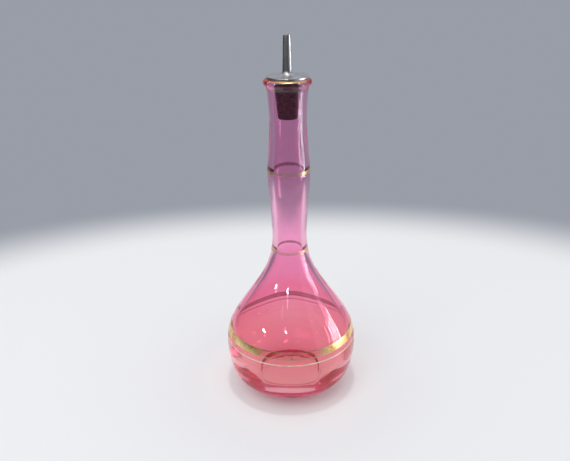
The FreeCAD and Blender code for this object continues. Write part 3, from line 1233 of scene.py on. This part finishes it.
@dataclass
class Studio:
    """A pale floor with painted light under the bottle, a grey surround, a dark card for reflections, soft
    lamps and the camera.
    """

    floor_half: float = 12.0
    floor_drop: float = 0.00005
    # The lighter middle of the floor is a painted pool of light under the bottle, out to the middle reach.
    floor_painted_pool: Colour = (0.96, 0.96, 0.96)
    floor_near: Colour = (0.84, 0.845, 0.86)
    floor_roughness: float = 0.8
    floor_shine: float = 0.05
    painted_pool_reach: Span = (0.040, 0.080)
    fade_reach: Span = (0.25, 0.37)
    fade_squeeze: float = 0.7
    # How much the floor glows in its own pale tone where glass is seen through: painted light that lifts
    # its shade.
    painted_glow_through_glass: float = 0.7
    seen_low: Colour = (0.32, 0.34, 0.39)
    seen_high: Colour = (0.55, 0.57, 0.62)
    seen_rise: Span = (0.05, 0.75)
    ambient: Colour = (0.82, 0.83, 0.845)
    card_inside: float = 0.5
    card_outside: float = 1.3
    card_height: float = 1.4
    card_turn: Span = (-130.0, 45.0)
    card_folds: int = 24
    card_tone: Colour = (0.02, 0.02, 0.025)
    card_roughness: float = 0.9
    target: Place = (0.0, 0.0, 0.10)
    eye: Place = (-0.0030, -0.3927, 0.2872)
    pitch: float = 23.5
    roll: float = 0.97
    focal_pixels: float = 640.0
    image_width: float = 570.0
    sensor: float = 36.0
    clip: Span = (0.01, 50.0)
    bounces: int = 96
    clear_bounces: int = 32
    lamps: tuple[Lamp, ...] = (
        Lamp("overhead", azimuth=0, elevation=89, distance=1.1, width=0.07, height=0.07, watts=1.8),
        Lamp("soft_left", azimuth=-40, elevation=50, distance=1.2, width=0.6, height=0.6, watts=1.6),
        *window_lamps({"near": 79, "middle": 84, "far": 89, "last": 94}),
        Lamp("glint_front", azimuth=-11, elevation=31.5, distance=1.2, width=0.045, height=0.050, watts=1.2,
             lean=35, only_glints=True),
        Lamp("glint_left", azimuth=-58, elevation=23.5, distance=1.2, width=0.040, height=0.10, watts=1.0,
             lean=85, only_glints=True),
    )

    @staticmethod
    def _prop(name: str, corners: list[Place], faces: list[tuple], finish: Shader) -> bpy.types.Object:
        """Make an object that isn't part of the bottle.

        Args:
            name: its name.
            corners: its corners.
            faces: the corners' numbers, face by face.
            finish: its material's node tree.

        Returns:
            The object.
        """
        mesh = bpy.data.meshes.new(name)
        mesh.from_pydata(corners, [], faces)
        mesh.materials.append(finish.material)
        prop = bpy.data.objects.new(name, mesh)
        bpy.context.scene.collection.objects.link(prop)
        return prop

    def _floor_finish(self) -> Shader:
        """Make the floor's finish: a painted pool of light under the bottle, a painted glow that lifts its
        shade where glass is seen through, and the tone of the surround far away.

        Returns:
            Its node tree.
        """
        shader = Shader("pale_floor")
        away = shader.parts()
        reach = shader.hypotenuse(away["X"], away["Y"])
        # Painted pool of light: the floor is lighter in a disc under the bottle, which lifts the shade
        # there.
        tone = shader.mix(shader.remap(reach, self.painted_pool_reach), self.floor_painted_pool, self.floor_near)
        shader.set(Base_Color=tone, Roughness=self.floor_roughness, Specular_IOR_Level=self.floor_shine)
        # Painted light: where glass is seen through, the floor partly glows in its own pale tone, which
        # lifts its shade.
        path = shader.node("ShaderNodeLightPath").outputs
        behind_glass = shader.maths("MULTIPLY", path["Is Transmission Ray"], shader.unscattered(path))
        lit = shader.maths("MULTIPLY", behind_glass, self.painted_glow_through_glass)
        near = shader.blend(lit, shader.surface.outputs[0], shader.glow(self.floor_near))
        squeezed = shader.maths("MULTIPLY", away["X"], self.fade_squeeze)
        faded = shader.remap(shader.hypotenuse(squeezed, away["Y"]), self.fade_reach)
        surface = shader.blend(faded, near, shader.glow(self.seen_low))
        shader.feed(shader.output.inputs["Surface"], surface)
        return shader

    def _floor(self) -> None:
        """Add the floor."""
        half, low = self.floor_half, -self.floor_drop
        corners = [(-half, -half, low), (half, -half, low), (half, half, low), (-half, half, low)]
        floor = self._prop("floor", corners, [(0, 1, 2, 3)], self._floor_finish())

    def _card(self) -> None:
        """Stand a dark card behind the camera, which only reflections show."""
        rim = [(self.card_inside, self.floor_drop), (self.card_outside, self.floor_drop),
               (self.card_outside, self.card_height)]
        across = len(rim)
        turns = np.radians(np.linspace(*self.card_turn, self.card_folds))
        corners = [
            (reach * math.sin(turn), -reach * math.cos(turn), z) for turn in turns for reach, z in rim
        ]
        rows = range(0, len(corners) - across, across)
        starts = [row + step for row in rows for step in range(across - 1)]
        faces = [(i, i + 1, i + across + 1, i + across) for i in starts]
        felt = Shader("black_felt")
        felt.set(Base_Color=self.card_tone, Roughness=self.card_roughness)
        card = self._prop("dark_card", corners, faces, felt)
        card.visible_camera = card.visible_diffuse = card.visible_transmission = card.visible_shadow = False

    def _surround(self) -> None:
        """Light the scene evenly from all round, and show a darker tone where the surround is seen."""
        world = bpy.data.worlds.new("surround")
        bpy.context.scene.world = world
        world.use_nodes = True
        tree = NodeTree(world.node_tree)
        path = tree.node("ShaderNodeLightPath").outputs
        shown = path["Is Camera Ray"]
        for other in ("Is Glossy Ray", "Is Transmission Ray"):
            shown = tree.maths("MAXIMUM", shown, path[other])
        shown = tree.maths("MULTIPLY", shown, tree.unscattered(path))
        towards = tree.node("ShaderNodeTexCoord").outputs["Generated"]
        rise = tree.node("ShaderNodeSeparateXYZ", Vector=towards).outputs["Z"]
        seen = tree.mix(tree.remap(rise, self.seen_rise), self.seen_low, self.seen_high)
        background = world.node_tree.nodes["Background"]
        background.inputs["Strength"].default_value = 1.0
        tree.feed(background.inputs["Color"], tree.mix(shown, self.ambient, seen))

    def _camera(self) -> None:
        """Set the camera where the photograph was taken from."""
        pitch, roll = math.radians(self.pitch), math.radians(self.roll)
        forward = Vector((0, math.cos(pitch), -math.sin(pitch)))
        level_up, level_right = Vector((0, math.sin(pitch), math.cos(pitch))), Vector((1, 0, 0))
        right = level_right * math.cos(roll) - level_up * math.sin(roll)
        up = level_up * math.cos(roll) + level_right * math.sin(roll)
        data = bpy.data.cameras.new("camera")
        data.sensor_width = self.sensor
        data.lens = self.focal_pixels / self.image_width * self.sensor
        data.clip_start, data.clip_end = self.clip
        camera = bpy.data.objects.new("camera", data)
        axes = Matrix((right, up, -forward)).transposed().to_4x4()
        camera.matrix_world = Matrix.Translation(Vector(self.eye)) @ axes
        bpy.context.scene.collection.objects.link(camera)
        bpy.context.scene.camera = camera

    def build(self) -> None:
        """Set the whole studio."""
        self._floor()
        self._card()
        self._surround()
        for lamp in self.lamps:
            lamp.place(Vector(self.target))
        self._camera()
        scene = bpy.context.scene
        scene.view_settings.view_transform = "Standard"
        scene.cycles.max_bounces = self.bounces
        scene.cycles.transmission_bounces = self.bounces
        scene.cycles.glossy_bounces = self.bounces
        scene.cycles.transparent_max_bounces = self.clear_bounces
        LOG.info("studio: %d lamps", len(self.lamps))


def main() -> None:
    """Build the bottle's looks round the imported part."""
    logging.basicConfig(level=logging.INFO, format="%(name)s: %(message)s")
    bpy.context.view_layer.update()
    tree = TurningTree()
    glass = Glass()
    glass.build(tree, RubyGlass())
    gilding = Gilding(glass)
    gilding.build(
        tree,
        body=FiredGilt(edges=gilding.body_band_edges()),
        line=FiredGilt(gold=(0.94, 0.74, 0.50), pale=(0.97, 0.86, 0.68),
                       rubbed_facing=(1.1, 1.2), rubbed_patches=(0.58, 0.78)),
        neck_gold=FiredGilt(rubbed_patches=(0.48, 0.70), rubbed_facing=(0.30, 0.80), left=0.20),
        lip=FiredGilt(rubbed_patches=(0.50, 0.70), rubbed_facing=(0.72, 0.50), left=0.15),
    )
    Stopper(glass).build(tree, OldCork(), CastMetal())
    Studio().build()


if __name__ == "__main__":
    main()
